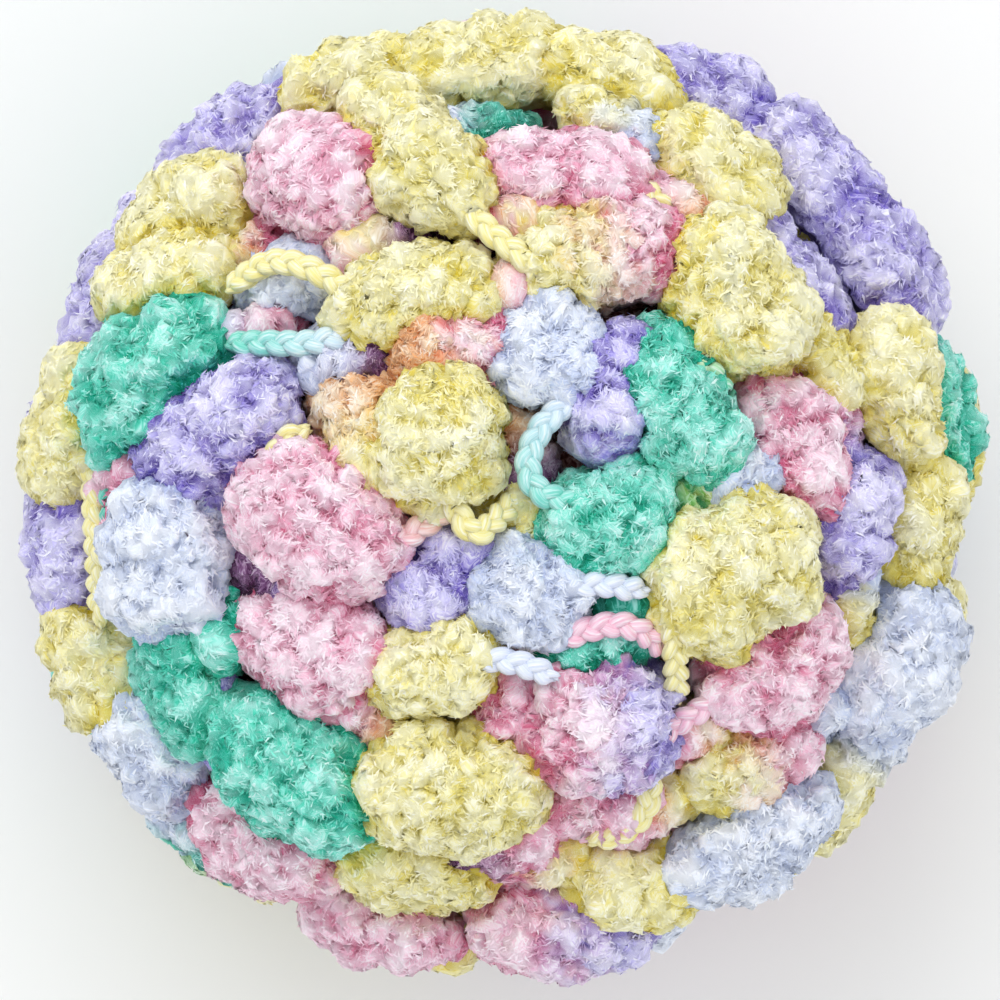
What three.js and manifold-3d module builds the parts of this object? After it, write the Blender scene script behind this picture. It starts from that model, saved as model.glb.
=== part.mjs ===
// A ball of pom pom yarn, lying on the flat spot under it, with its wound crown facing up.
// The yarn is a knitted chain cord with a soft pompom every 40 mm or so, and the whole ball is one solid:
// every pompom of its outer turns, the links of cord that show between them, and the windings inside.
// Millimetres, +Z up. The origin is the middle of the flat spot that the ball rests on.
import * as THREE from "three";
import { mergeVertices } from "three/addons/utils/BufferGeometryUtils.js";
import Module from "manifold-3d";

const wasm = await Module();
wasm.setup();

// The dome that the pompoms' middles lie on: its radius, the height of its widest turn and its rise above that.
const dome = { radius: 92, waist: 50, rise: 60 };
// A pompom's outline: fuller than an ellipsoid along its length, and a little lumpy. The lumps go round as a
// wave of so many radians a millimetre across the pompom, through it and along it.
const pompomShape = { fullness: 2.8, roundness: 2.1 };
const lumps = { depth: 0.035, across: 1.1, through: 0.7, along: 0.9 };
// A pompom's rings and sides: a big one on the face, and one that is small or out of sight.
const bigFacets = { rings: 5, sides: 7, overWidth: 22 };
const smallFacets = { rings: 4, sides: 6 };
// The chain cord that joins the pompoms.
const cord = { radius: 2.7, sides: 4, step: 8, fewestSteps: 3 };
// The windings under the outer turns, which fill the ball.
const inside = { radius: 78, halfHeight: 47, middle: 56, sides: 15, rings: 8 };
// The block that cuts the ball level, and how near two corners are to be one.
const floorCut = { side: 400, depth: 40 };
const sameCorner = 1e-4;

// The pompoms of the crown and the face, by the turn that they lie in. x and y are a pompom's middle in plan,
// long and wide its size there, heading the way that its yarn runs in plan, in degrees, and lift how far its
// middle stands off the dome. All are about as tall as the big ones are wide, because those on the slope are
// partly covered by the turn above them.
const leastTall = 24;
const crownTurn = [
  { x: -11, y: 12, long: 29, wide: 27, heading: 80, lift: 6 },
  { x: -26, y: 13, long: 28, wide: 21, heading: 108, lift: 0 },
  { x: -9, y: 30, long: 28, wide: 20, heading: 12, lift: 1 },
  { x: 11, y: 28, long: 29, wide: 21, heading: -18, lift: 1 },
  { x: 20, y: 21, long: 30, wide: 17, heading: 72, lift: 1 },
  { x: 34, y: 18, long: 35, wide: 23, heading: -70, lift: 4 },
  { x: 21, y: -4, long: 29, wide: 23, heading: 12, lift: 3 },
  { x: 7, y: -18, long: 28, wide: 23, heading: -10, lift: 1 },
  { x: -11, y: -15, long: 27, wide: 21, heading: 42, lift: -3 },
];
const middleTurn = [
  { x: -34, y: -4, long: 37, wide: 26, heading: -32, lift: 6 },
  { x: -40, y: -16, long: 30, wide: 16, heading: -15, lift: -4 },
  { x: -37, y: -28, long: 31, wide: 25, heading: -24, lift: 1 },
  { x: -12, y: -32, long: 28, wide: 21, heading: 20, lift: 2 },
  { x: -9, y: -54, long: 37, wide: 27, heading: 2, lift: 6 },
  { x: 20, y: -43, long: 31, wide: 27, heading: -8, lift: 3 },
  { x: 19, y: -30, long: 26, wide: 14, heading: 8, lift: -3 },
  { x: 43, y: -14, long: 36, wide: 30, heading: 30, lift: 6 },
  { x: 53, y: -31, long: 32, wide: 26, heading: 36, lift: 3 },
  { x: 46, y: 5, long: 22, wide: 17, heading: -20, lift: -2 },
  { x: 58, y: 11, long: 32, wide: 21, heading: -68, lift: 0 },
  { x: 44, y: 38, long: 35, wide: 28, heading: -60, lift: 6 },
  { x: 19, y: 47, long: 37, wide: 22, heading: 12, lift: 4 },
  { x: -16, y: 39, long: 34, wide: 21, heading: 15, lift: 4 },
  { x: -29, y: 29, long: 26, wide: 15, heading: 2, lift: -4 },
  { x: -43, y: 45, long: 26, wide: 17, heading: -15, lift: -5 },
  { x: -54, y: 14, long: 39, wide: 23, heading: 33, lift: 3 },
];
const outerTurn = [
  { x: -63, y: -11, long: 34, wide: 27, heading: 95, lift: 5 },
  { x: -74, y: 0, long: 26, wide: 15, heading: 82, lift: -1 },
  { x: -66, y: 23, long: 38, wide: 26, heading: 34, lift: 5 },
  { x: -65, y: 42, long: 30, wide: 20, heading: -2, lift: 4 },
  { x: -61, y: 55, long: 31, wide: 21, heading: 14, lift: 2 },
  { x: -34, y: 60, long: 30, wide: 26, heading: -35, lift: 4 },
  { x: -15, y: 64, long: 39, wide: 22, heading: -54, lift: 7 },
  { x: -6, y: 74, long: 26, wide: 15, heading: 5, lift: -4 },
  { x: 12, y: 62, long: 36, wide: 21, heading: -8, lift: 3 },
  { x: 23, y: 73, long: 25, wide: 15, heading: -42, lift: 1 },
  { x: 37, y: 58, long: 26, wide: 14, heading: -36, lift: -2 },
  { x: 41, y: 64, long: 32, wide: 21, heading: -48, lift: 3 },
  { x: 65, y: 28, long: 26, wide: 16, heading: -63, lift: -2 },
  { x: 68, y: 14, long: 24, wide: 13, heading: -80, lift: -3 },
  { x: 69, y: -4, long: 29, wide: 18, heading: 82, lift: 2 },
  { x: 49, y: -51, long: 30, wide: 19, heading: 10, lift: 0 },
  { x: 48, y: -65, long: 38, wide: 23, heading: 22, lift: 4 },
  { x: 20, y: -62, long: 26, wide: 16, heading: 5, lift: -3 },
  { x: -1, y: -68, long: 28, wide: 17, heading: 14, lift: -2 },
  { x: -17, y: -73, long: 33, wide: 19, heading: -12, lift: 0 },
  { x: -39, y: -51, long: 40, wide: 25, heading: -44, lift: 6 },
  { x: -57, y: -40, long: 24, wide: 12, heading: 78, lift: -2 },
  { x: -61, y: -36, long: 31, wide: 19, heading: -75, lift: 2 },
  { x: -68, y: -50, long: 28, wide: 20, heading: -52, lift: 1 },
  { x: -47, y: -66, long: 33, wide: 22, heading: -38, lift: 2 },
];
const rimTurn = [
  { x: -85, y: 13, long: 36, wide: 19, heading: 82, lift: 0 },
  { x: -81, y: 39, long: 28, wide: 17, heading: 64, lift: -2 },
  { x: -52, y: 72, long: 37, wide: 21, heading: 36, lift: 0 },
  { x: -30, y: 82, long: 30, wide: 19, heading: 22, lift: 1 },
  { x: -3, y: 86, long: 39, wide: 19, heading: 3, lift: 1 },
  { x: 21, y: 83, long: 30, wide: 19, heading: -20, lift: 2 },
  { x: 40, y: 80, long: 30, wide: 19, heading: -30, lift: 1 },
  { x: 61, y: 64, long: 36, wide: 21, heading: -50, lift: 2 },
  { x: 61, y: 45, long: 33, wide: 17, heading: -56, lift: -2 },
  { x: 74, y: 46, long: 34, wide: 20, heading: -62, lift: 3 },
  { x: 78, y: 21, long: 33, wide: 19, heading: -80, lift: 3 },
  { x: 86, y: 18, long: 28, wide: 16, heading: -80, lift: -3 },
  { x: 83, y: -6, long: 30, wide: 20, heading: 88, lift: 0 },
  { x: 77, y: -31, long: 35, wide: 24, heading: 68, lift: 3 },
  { x: 72, y: -53, long: 26, wide: 17, heading: 52, lift: -2 },
  { x: 26, y: -76, long: 29, wide: 18, heading: -18, lift: 1 },
  { x: 12, y: -84, long: 38, wide: 20, heading: -5, lift: 2 },
  { x: -23, y: -85, long: 34, wide: 18, heading: -14, lift: 1 },
  { x: -61, y: -66, long: 30, wide: 17, heading: -48, lift: -3 },
  { x: -80, y: -33, long: 30, wide: 20, heading: -68, lift: 1 },
  { x: -86, y: -12, long: 27, wide: 18, heading: -82, lift: 0 },
];

// The turns down the side and under the ball, which are even: the height and radius of a turn's middle line,
// how many pompoms it has, how far round the first one lies in degrees, and how far each rises and falls.
const lowerTurns = [
  { height: 55, radius: 83, pompoms: 13, start: 8, wander: 2.5 },
  { height: 32, radius: 79, pompoms: 12, start: 22, wander: 2 },
  { height: 14, radius: 60, pompoms: 10, start: 2, wander: 1 },
  { height: 11, radius: 33, pompoms: 5, start: 30, wander: 0.4 },
  { height: 10.5, radius: 0, pompoms: 1, start: 0, wander: 0 },
];
// The size of their pompoms, how much it varies, and how steeply the yarn rises and falls. The three waves of
// change step on by so many radians from each pompom to the next, so that no two are alike.
const lowerPompom = { long: 38, wide: 27, longSpread: 2, wideSpread: 1.5, slope: 0.12 };
const waveStep = { rise: 2.4, length: 1.7, width: 2.9 };

// The links of chain cord that show on the face, each a route of [x, y, height off the dome].
const links = [
  [[-54, 42, 8], [-47, 46.5, 12], [-42, 47, 14], [-36, 45, 13], [-28, 40, 9]],
  [[-54, 31, 8], [-45, 31, 9], [-38, 31, 9], [-29, 32.5, 7]],
  [[14, 20, 8], [8, 14, 9], [5.5, 7, 10], [8, 1.5, 11], [16, -1, 11]],
  [[-10, 2, 9], [-7.5, -4, 11], [-4.5, -6.5, 11], [-1, -4, 8], [4, 1, 2]],
  [[-21, -9, 10], [-15, -5, 8], [-8, 0, 7]],
  [[13, -17, 10], [20, -16.5, 11], [29, -18, 10]],
  [[11, -28, 8], [17, -25.6, 9], [23, -24.5, 10], [28, -26, 10], [33, -30, 7]],
  [[34, -22, 12], [34.5, -30, 11], [35, -40, 7]],
  [[44, -39, 11], [38, -42.5, 9], [34, -45, 8], [29, -49, 8]],
  [[-82, 9, 5], [-81, -4, 8], [-80.5, -12, 9], [-80, -25, 8]],
  [[-76, 12, 6], [-77.5, 0, 8], [-76, -12, 7]],
  [[18, -68, 6], [25, -65.5, 9], [29, -61, 10], [30, -54, 8]],
  [[-7, 58, 13], [-2, 53, 13], [3, 49, 12], [8, 45, 10]],
  [[26, 65, 9], [31, 59, 10], [36, 55, 8]],
  [[-6, -31, 10], [3, -32, 11], [11, -35, 11]],
  [[-38, 14, 8], [-43, 11, 11], [-45, 5, 10]],
  [[37, 33, 10], [41, 26, 11], [45, 20, 8]],
];

// The height of the dome over a place in plan.
function domeHeight(x, y) {
  const out = Math.min(1, Math.hypot(x, y) / dome.radius);
  return dome.waist + dome.rise * Math.sqrt(1 - out * out);
}

// The way out of the dome at a place on it.
function domeNormal(x, y, z) {
  const [across, up] = [dome.radius ** 2, dome.rise ** 2];
  return new THREE.Vector3(x / across, y / across, (z - dome.waist) / up).normalize();
}

// A three.js geometry as a solid.
function solidOf(geometry) {
  const bare = geometry.index ? geometry.toNonIndexed() : geometry.clone();
  bare.deleteAttribute("normal");
  bare.deleteAttribute("uv");
  const merged = mergeVertices(bare, sameCorner);
  return new wasm.Manifold(
    new wasm.Mesh({
      numProp: 3,
      vertProperties: merged.attributes.position.array,
      triVerts: new Uint32Array(merged.index.array),
    }),
  );
}

// A pompom of a length, a width and a height, with its yarn along a direction and its width level.
function pompom({ middle, along, long, wide, tall, facets }) {
  const { fullness, roundness } = pompomShape;
  const { rings, sides } = facets;
  const profile = [];
  for (let ring = 0; ring <= rings; ring++) {
    const share = -Math.cos((Math.PI * ring) / rings);
    const radius = (1 - Math.abs(share) ** fullness) ** (1 / roundness);
    const onAxis = ring === 0 || ring === rings;
    profile.push(new THREE.Vector2(onAxis ? 0 : (radius * wide) / 2, (share * long) / 2));
  }
  const geometry = new THREE.LatheGeometry(profile, sides);
  const points = geometry.attributes.position;
  for (let i = 0; i < points.count; i++) {
    const [px, py, pz] = [points.getX(i), points.getY(i), points.getZ(i)];
    const round = Math.sin(lumps.across * px + lumps.along * py + middle.x);
    const bump = 1 + lumps.depth * round * Math.cos(lumps.through * pz + middle.y);
    points.setXYZ(i, px * bump, py, pz * bump);
  }
  const across = new THREE.Vector3(along.y, -along.x, 0).normalize();
  const up = new THREE.Vector3().crossVectors(across, along);
  geometry.scale(1, 1, tall / wide);
  geometry.applyMatrix4(new THREE.Matrix4().makeBasis(across, along, up).setPosition(middle));
  return solidOf(geometry);
}

// A pompom of the face, from its row.
function facePompom({ x, y, long, wide, heading, lift }) {
  const z = domeHeight(x, y);
  const out = domeNormal(x, y, z);
  const turn = THREE.MathUtils.degToRad(heading);
  const level = new THREE.Vector3(Math.cos(turn), Math.sin(turn), 0);
  const along = level.addScaledVector(out, -level.dot(out)).normalize();
  const middle = new THREE.Vector3(x, y, z).addScaledVector(out, lift);
  const facets = wide > bigFacets.overWidth ? bigFacets : smallFacets;
  return pompom({ middle, along, long, wide, tall: Math.max(wide, leastTall), facets });
}

// The pompoms of one of the even turns, each a little different from the last.
function lowerPompoms({ height, radius, pompoms, start, wander }, turnNumber) {
  return Array.from({ length: pompoms }, (_, i) => {
    const bearing = THREE.MathUtils.degToRad(start) + (2 * Math.PI * i) / pompoms;
    const swing = Math.sin(waveStep.rise * i + turnNumber);
    const middle = new THREE.Vector3(
      radius * Math.cos(bearing),
      radius * Math.sin(bearing),
      height + wander * swing,
    );
    const slope = lowerPompom.slope * swing;
    const along = new THREE.Vector3(-Math.sin(bearing), Math.cos(bearing), slope).normalize();
    const long = lowerPompom.long + lowerPompom.longSpread * Math.sin(waveStep.length * i + turnNumber);
    const wide = lowerPompom.wide + lowerPompom.wideSpread * Math.cos(waveStep.width * i + turnNumber);
    return pompom({ middle, along, long, wide, tall: wide, facets: smallFacets });
  });
}

// A tube of cord along a curve.
function cordAlong(curve) {
  const section = new THREE.Shape();
  for (let i = 0; i < cord.sides; i++) {
    const angle = (2 * Math.PI * i) / cord.sides;
    section[i ? "lineTo" : "moveTo"](cord.radius * Math.cos(angle), cord.radius * Math.sin(angle));
  }
  const steps = Math.max(cord.fewestSteps, Math.round(curve.getLength() / cord.step));
  return solidOf(new THREE.ExtrudeGeometry(section, { steps, bevelEnabled: false, extrudePath: curve }));
}

// A link of cord that shows on the face, from its route.
function faceLink(route) {
  return cordAlong(
    new THREE.CatmullRomCurve3(route.map(([x, y, rise]) => new THREE.Vector3(x, y, domeHeight(x, y) + rise))),
  );
}

// The cord of an even turn, drawn straight from each pompom to the next.
function turnCord({ height, radius, pompoms, start }) {
  const ring = new THREE.TorusGeometry(radius, cord.radius, cord.sides, pompoms);
  return solidOf(ring.rotateZ(THREE.MathUtils.degToRad(start)).translate(0, 0, height));
}

// The windings inside, as one squat round body.
function insideWindings() {
  const geometry = new THREE.SphereGeometry(1, inside.sides, inside.rings);
  geometry.rotateX(Math.PI / 2);
  geometry.scale(inside.radius, inside.radius, inside.halfHeight);
  return solidOf(geometry.translate(0, 0, inside.middle));
}

// All of it as one body, cut level where it rests. Pockets sealed in between the pompoms are filled.
function woundBall() {
  const facePompoms = [...crownTurn, ...middleTurn, ...outerTurn, ...rimTurn].map(facePompom);
  const pieces = [
    insideWindings(),
    ...facePompoms,
    ...lowerTurns.flatMap(lowerPompoms),
    turnCord(lowerTurns[0]),
    ...links.map(faceLink),
  ];
  const whole = pieces.reduce((ball, piece) => ball.add(piece));
  const below = new THREE.BoxGeometry(floorCut.side, floorCut.side, floorCut.depth);
  const resting = whole.subtract(solidOf(below.translate(0, 0, -floorCut.depth / 2)));
  return resting.decompose().reduce((most, body) => (body.volume() > most.volume() ? body : most));
}

// A solid as a mesh that three.js draws.
function meshOf(solid, name, material) {
  const { numProp, numVert, vertProperties, triVerts } = solid.getMesh();
  const places = new Float32Array(numVert * 3);
  for (let i = 0; i < numVert; i++) places.set(vertProperties.subarray(i * numProp, i * numProp + 3), i * 3);
  const geometry = new THREE.BufferGeometry();
  geometry.setAttribute("position", new THREE.BufferAttribute(places, 3));
  geometry.setIndex(new THREE.BufferAttribute(triVerts, 1));
  const mesh = new THREE.Mesh(geometry, material);
  mesh.name = name;
  return mesh;
}

const plushYarn = new THREE.MeshStandardMaterial({
  color: "#e6dfc4",
  roughness: 0.95,
  metalness: 0,
  flatShading: true,
});

const ball = new THREE.Group();
ball.add(meshOf(woundBall(), "wound_ball", plushYarn));

export default ball;
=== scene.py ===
# A ball of pom pom yarn: soft space-dyed pompoms on a knitted chain cord, wound round and seen from above.
import math
import bpy
import bmesh
import numpy as np
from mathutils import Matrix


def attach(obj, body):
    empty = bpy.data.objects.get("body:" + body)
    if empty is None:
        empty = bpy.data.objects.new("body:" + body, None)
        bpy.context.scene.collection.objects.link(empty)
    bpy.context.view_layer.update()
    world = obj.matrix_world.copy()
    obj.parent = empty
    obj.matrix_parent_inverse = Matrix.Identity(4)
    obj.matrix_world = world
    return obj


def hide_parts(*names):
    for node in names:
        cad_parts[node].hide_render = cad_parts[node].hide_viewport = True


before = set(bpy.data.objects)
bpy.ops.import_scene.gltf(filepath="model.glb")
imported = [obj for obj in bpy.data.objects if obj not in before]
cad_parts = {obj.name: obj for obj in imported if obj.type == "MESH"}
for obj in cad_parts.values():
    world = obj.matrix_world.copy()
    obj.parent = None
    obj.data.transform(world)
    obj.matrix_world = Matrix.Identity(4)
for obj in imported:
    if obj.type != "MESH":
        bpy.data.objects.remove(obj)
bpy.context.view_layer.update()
print("frame loaded")

mm = 0.001  # every size below is in millimetres, and meshes are made in metres


def linear(hexColour):  # an sRGB hex colour as linear red, green and blue
    parts = [int(hexColour[i:i + 2], 16) / 255 for i in (0, 2, 4)]
    return [c / 12.92 if c <= 0.04045 else ((c + 0.055) / 1.055) ** 2.4 for c in parts]


def unit(v):
    return v / np.maximum(np.linalg.norm(v, axis=-1, keepdims=True), 1e-9)


# Camera: straight above, far off, so that the picture is 200 mm across at the height of the big pompoms
cameraLook = {"height": 2000, "scaleAt": 88, "across": 200, "sensor": 36, "clipEnd": 20000}
camera = bpy.data.objects.new("camera", bpy.data.cameras.new("camera"))
bpy.context.scene.collection.objects.link(camera)
camera.location = (0, 0, (cameraLook["height"] + cameraLook["scaleAt"]) * mm)
camera.data.sensor_width = cameraLook["sensor"]
camera.data.lens = cameraLook["sensor"] * cameraLook["height"] / cameraLook["across"]
camera.data.clip_end = cameraLook["clipEnd"] * mm
bpy.context.scene.camera = camera
print("camera set")

# Each dye: the curled tips of the pile, the locks below them, and the roots down in the gaps
# the paler tips are partly painted highlight and the deeper roots partly painted shade in the gaps, on top of
# each yarn's own dye
dyes = {
    "lemon": ("fcf9de", "f8f2c4", "f4e88a"),
    "mint": ("ccf7ef", "90e6d5", "34c6ad"),
    "lilac": ("f0ecfd", "dad6f5", "a596da"),
    "rose": ("fff2f7", "f9dae6", "eca2bb"),
    "white": ("f8faff", "ebf0fb", "dce3f5"),
    "peach": ("fcf0e0", "fbe3c8", "f3c8a0"),
    # teal and mauve are deeper dyes given to sunken pompoms, partly as painted shade
    "teal": ("a9e4da", "5cc0ae", "2a9685"),
    "mauve": ("d9bfd6", "b08db0", "7d5078"),
}
dyeColours = {name: np.array([linear(c) for c in shades]) for name, shades in dyes.items()}

# Where the yarn goes: the dome that the pompoms' middles lie on, and the windings inside
dome = {"radius": 92, "waist": 50, "rise": 60}
core = {"radius": 75, "halfHeight": 44, "middle": 56}
coreSize = np.array([core["radius"], core["radius"], core["halfHeight"]])
coreMiddle = np.array([0, 0, core["middle"]])
pompomShape = {
    "fullness": 2.8,     # how full its ends are: 2 is an ellipsoid
    "roundness": 2.1,    # the same round the yarn
    "leastTall": 24,
    "plump": 1.07,       # its size with the tips of the pile, against the sizes in the rows
    "farthest": 50,      # pompoms with their middles farther apart don't touch
    "slices": 401,       # along a pompom, to place points evenly
    "ends": 0.998,       # how far along it the last points may be
}

# Pompoms of the face by turn: middle in plan, length, width, heading of the yarn, height off the dome,
# and dye from the yarn's tail to its head
faceTurns = {
    "crownTurn": [
        (-11, 12, 29, 27, 80, 6, "lemon lemon"),
        (-26, 13, 28, 21, 108, 0, "lemon peach"),
        (-9, 30, 28, 20, 12, 1, "peach rose"),
        (11, 28, 29, 21, -18, 1, "white white"),
        (21, 22, 27, 17, 72, 1, "lilac lilac"),
        (34, 18, 35, 23, -70, 4, "mint mint"),
        (21, -4, 29, 23, 12, 3, "mint mint"),
        (7, -18, 28, 23, -10, 1, "white white"),
        (-11, -15, 27, 21, 42, -3, "lilac lilac"),
        (4, -3, 20, 15, -40, -8, "lemon lemon"),
        (2, 10, 26, 15, 100, -9, "mauve peach"),
    ],
    "middleTurn": [
        (1, -41, 20, 14, 70, -4, "rose rose"),
        (-27, -45, 19, 13, -30, -4, "rose peach"),
        (26, -22, 17, 10, -5, -5, "teal teal"),
        (38, 0, 15, 11, 30, -4, "mint lemon"),
        (0, 43, 17, 11, 10, -4, "lemon rose"),
        (-31, 49, 15, 11, 60, -4, "rose lemon"),
        (40, -47, 17, 12, 20, -4, "rose lemon"),
        (-34, -4, 37, 26, -32, 6, "rose rose"),
        (-40, -16, 30, 16, -15, -5, "mauve lilac"),
        (-37, -28, 31, 25, -24, 1, "rose rose"),
        (-12, -32, 28, 21, 20, 2, "lemon lemon"),
        (-9, -54, 37, 27, 2, 6, "lemon lemon"),
        (20, -43, 31, 27, -8, 3, "rose lilac"),
        (19, -30, 26, 14, 8, -3, "mint mint"),
        (43, -14, 36, 30, 30, 6, "lemon lemon"),
        (53, -31, 32, 26, 36, 3, "rose rose"),
        (46, 5, 22, 17, -20, -2, "white white"),
        (58, 11, 32, 21, -68, 0, "rose rose"),
        (44, 38, 35, 28, -60, 6, "lemon lemon"),
        (19, 47, 37, 22, 12, 4, "lemon rose"),
        (-16, 39, 34, 21, 15, 4, "lemon lemon"),
        (-29, 29, 26, 15, 2, -4, "white mauve"),
        (-43, 45, 26, 17, -15, -5, "white white"),
        (-54, 14, 39, 23, 33, 3, "lilac lilac"),
    ],
    "outerTurn": [
        (8, -75, 27, 15, 5, -5, "rose lemon"),
        (33, -63, 20, 13, 40, -5, "rose lemon"),
        (-49, 36, 20, 12, 5, -6, "white rose"),
        (67, -44, 18, 12, 60, -4, "white white"),
        (73, -20, 19, 13, 75, -4, "lemon white"),
        (-55, -26, 21, 14, 70, -2, "mint mint"),
        (-49, 53, 17, 11, 10, -4, "lemon rose"),
        (-21, 53, 17, 11, 0, -4, "lemon mauve"),
        (1, 56, 18, 11, 10, -3, "rose lemon"),
        (-63, -11, 34, 27, 95, 5, "white white"),
        (-74, 0, 26, 15, 82, -1, "rose rose"),
        (-66, 23, 38, 26, 34, 5, "mint mint"),
        (-65, 42, 30, 20, -2, 4, "lemon lemon"),
        (-61, 55, 31, 21, 14, 2, "lemon lemon"),
        (-34, 60, 30, 26, -35, 4, "rose rose"),
        (-15, 64, 39, 22, -54, 7, "lemon lemon"),
        (-6, 74, 26, 15, 5, -4, "white teal"),
        (12, 62, 36, 21, -8, 3, "rose rose"),
        (23, 73, 25, 15, -42, 1, "lemon white"),
        (37, 58, 26, 14, -36, -2, "rose peach"),
        (41, 64, 32, 21, -48, 3, "lemon lemon"),
        (65, 28, 26, 16, -63, -2, "lemon lemon"),
        (68, 14, 24, 13, -80, -3, "rose lilac"),
        (69, -4, 29, 18, 82, 2, "lilac lilac"),
        (49, -51, 30, 19, 10, 0, "lemon rose"),
        (48, -65, 38, 23, 22, 4, "white white"),
        (20, -62, 26, 16, 5, -3, "rose rose"),
        (-1, -68, 28, 17, 14, -2, "mauve rose"),
        (-17, -73, 33, 19, -12, 0, "lemon lemon"),
        (-39, -51, 40, 25, -44, 6, "mint mint"),
        (-57, -40, 24, 12, 78, -2, "lilac lilac"),
        (-61, -36, 31, 19, -75, 2, "mint mint"),
        (-68, -50, 28, 20, -52, 1, "white white"),
        (-47, -66, 33, 22, -38, 2, "rose rose"),
    ],
    "rimTurn": [
        (-85, 13, 36, 19, 82, 0, "lemon lemon"),
        (-81, 39, 28, 17, 64, -2, "lilac lilac"),
        (-52, 72, 37, 21, 36, 0, "lilac lilac"),
        (-30, 82, 30, 19, 22, 1, "lemon lemon"),
        (-3, 86, 39, 19, 3, 1, "lemon lemon"),
        (21, 83, 30, 19, -20, 2, "lemon lemon"),
        (40, 80, 30, 19, -30, 1, "lilac lilac"),
        (61, 64, 36, 21, -50, 2, "lilac lilac"),
        (61, 45, 33, 17, -56, -5, "lilac lilac"),
        (74, 46, 34, 20, -62, 3, "lilac lilac"),
        (77, 22, 33, 19, -78, 3, "lemon lemon"),
        (88, 17, 32, 16, -80, 0, "mint mint"),
        (83, -6, 30, 20, 88, 0, "lemon lemon"),
        (77, -31, 35, 24, 68, 3, "white white"),
        (72, -53, 26, 17, 52, -2, "lemon white"),
        (26, -76, 29, 18, -18, 1, "lemon lemon"),
        (12, -84, 38, 20, -5, 2, "rose lilac"),
        (-23, -85, 34, 18, -14, 1, "rose rose"),
        (-61, -66, 30, 17, -48, -3, "white teal"),
        (-80, -33, 30, 20, -68, 1, "lemon lemon"),
        (-86, -12, 27, 18, -82, 0, "lilac lilac"),
    ],
}

# Even turns down the side and under the ball, which the photo doesn't show: height and radius of the turn,
# how many pompoms, the bearing of the first, and how far they rise and fall
lowerTurns = [
    (55, 83, 13, 8, 2.5),
    (32, 79, 12, 22, 2),
    (14, 60, 10, 2, 1),
    (11, 33, 5, 30, 0.4),
    (10.5, 0, 1, 0, 0),
]
lowerPompom = {"long": 38, "wide": 27, "longSpread": 2, "wideSpread": 1.5, "slope": 0.12}
waveStep = {"rise": 2.4, "length": 1.7, "width": 2.9}  # radians from one pompom to the next
dyeStep = {"turn": 4, "fadeEvery": 3}  # each turn starts this far on in the run, and every third pompom fades
dyeRun = ["lemon", "lemon", "rose", "rose", "white", "lilac", "lilac", "mint", "mint", "lemon", "white"]

# Links of chain cord that show: a route of (x, y, height off the dome), and the dyes at its two ends
links = [
    ([(-54, 42, 8), (-47, 46.5, 12), (-42, 47, 14), (-36, 45, 13), (-28, 40, 9)], "lemon lemon"),
    ([(-54, 31, 8), (-45, 31, 9), (-38, 31, 9), (-29, 32.5, 7)], "mint white"),
    ([(14, 20, 8), (8, 14, 9), (5.5, 7, 10), (8, 1.5, 11), (16, -1, 11)], "white mint"),
    ([(-10, 2, 9), (-7.5, -4, 11), (-4.5, -6.5, 11), (-1, -4, 8), (4, 1, 2)], "lemon lemon"),
    ([(-21, -9, 10), (-15, -5, 8), (-8, 0, 7)], "rose peach"),
    ([(13, -17, 10), (20, -16.5, 11), (29, -18, 10)], "white white"),
    ([(11, -28, 8), (17, -25.6, 9), (23, -24.5, 10), (28, -26, 10), (33, -30, 7)], "rose rose"),
    ([(34, -22, 12), (34.5, -30, 11), (35, -40, 7)], "lemon lemon"),
    ([(44, -39, 11), (38, -42.5, 9), (34, -45, 8), (29, -49, 8)], "rose rose"),
    ([(-82, 9, 5), (-81, -4, 8), (-80.5, -12, 9), (-80, -25, 8)], "lemon lemon"),
    ([(-76, 12, 6), (-77.5, 0, 8), (-76, -12, 7)], "mint teal"),
    ([(18, -68, 6), (25, -65.5, 9), (29, -61, 10), (30, -54, 8)], "lemon lemon"),
    ([(-7, 58, 13), (-2, 53, 13), (3, 49, 12), (8, 45, 10)], "lemon lemon"),
    ([(26, 65, 9), (31, 59, 10), (36, 55, 8)], "lemon lemon"),
    ([(-6, -31, 10), (3, -32, 11), (11, -35, 11)], "white white"),
    ([(-38, 14, 8), (-43, 11, 11), (-45, 5, 10)], "lemon lemon"),
    ([(37, 33, 10), (41, 26, 11), (45, 20, 8)], "lemon mint"),
]


def domeHeight(x, y):
    out = min(1, math.hypot(x, y) / dome["radius"])
    return dome["waist"] + dome["rise"] * math.sqrt(1 - out * out)


def domeNormal(x, y, z):
    flat, tall = dome["radius"] ** 2, dome["rise"] ** 2
    return unit(np.array([x / flat, y / flat, (z - dome["waist"]) / tall]))


def placed(middle, along, size, ends):  # a pompom with its own axes: along the yarn, across it level, and up
    along = unit(np.array(along, float))
    across = unit(np.array([-along[1], along[0], 0.0]))
    up = np.cross(along, across)
    half = np.array(size, float) * pompomShape["plump"] / 2
    return {"middle": np.array(middle, float), "axes": np.array([along, across, up]), "half": half,
            "dyes": ends.split()}


def facePompom(row):
    x, y, long, wide, heading, lift, ends = row
    z = domeHeight(x, y)
    out = domeNormal(x, y, z)
    turn = math.radians(heading)
    level = np.array([math.cos(turn), math.sin(turn), 0])
    along = level - out * level.dot(out)
    tall = max(wide, pompomShape["leastTall"])
    return placed(np.array([x, y, z]) + out * lift, along, (long, wide, tall), ends)


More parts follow.
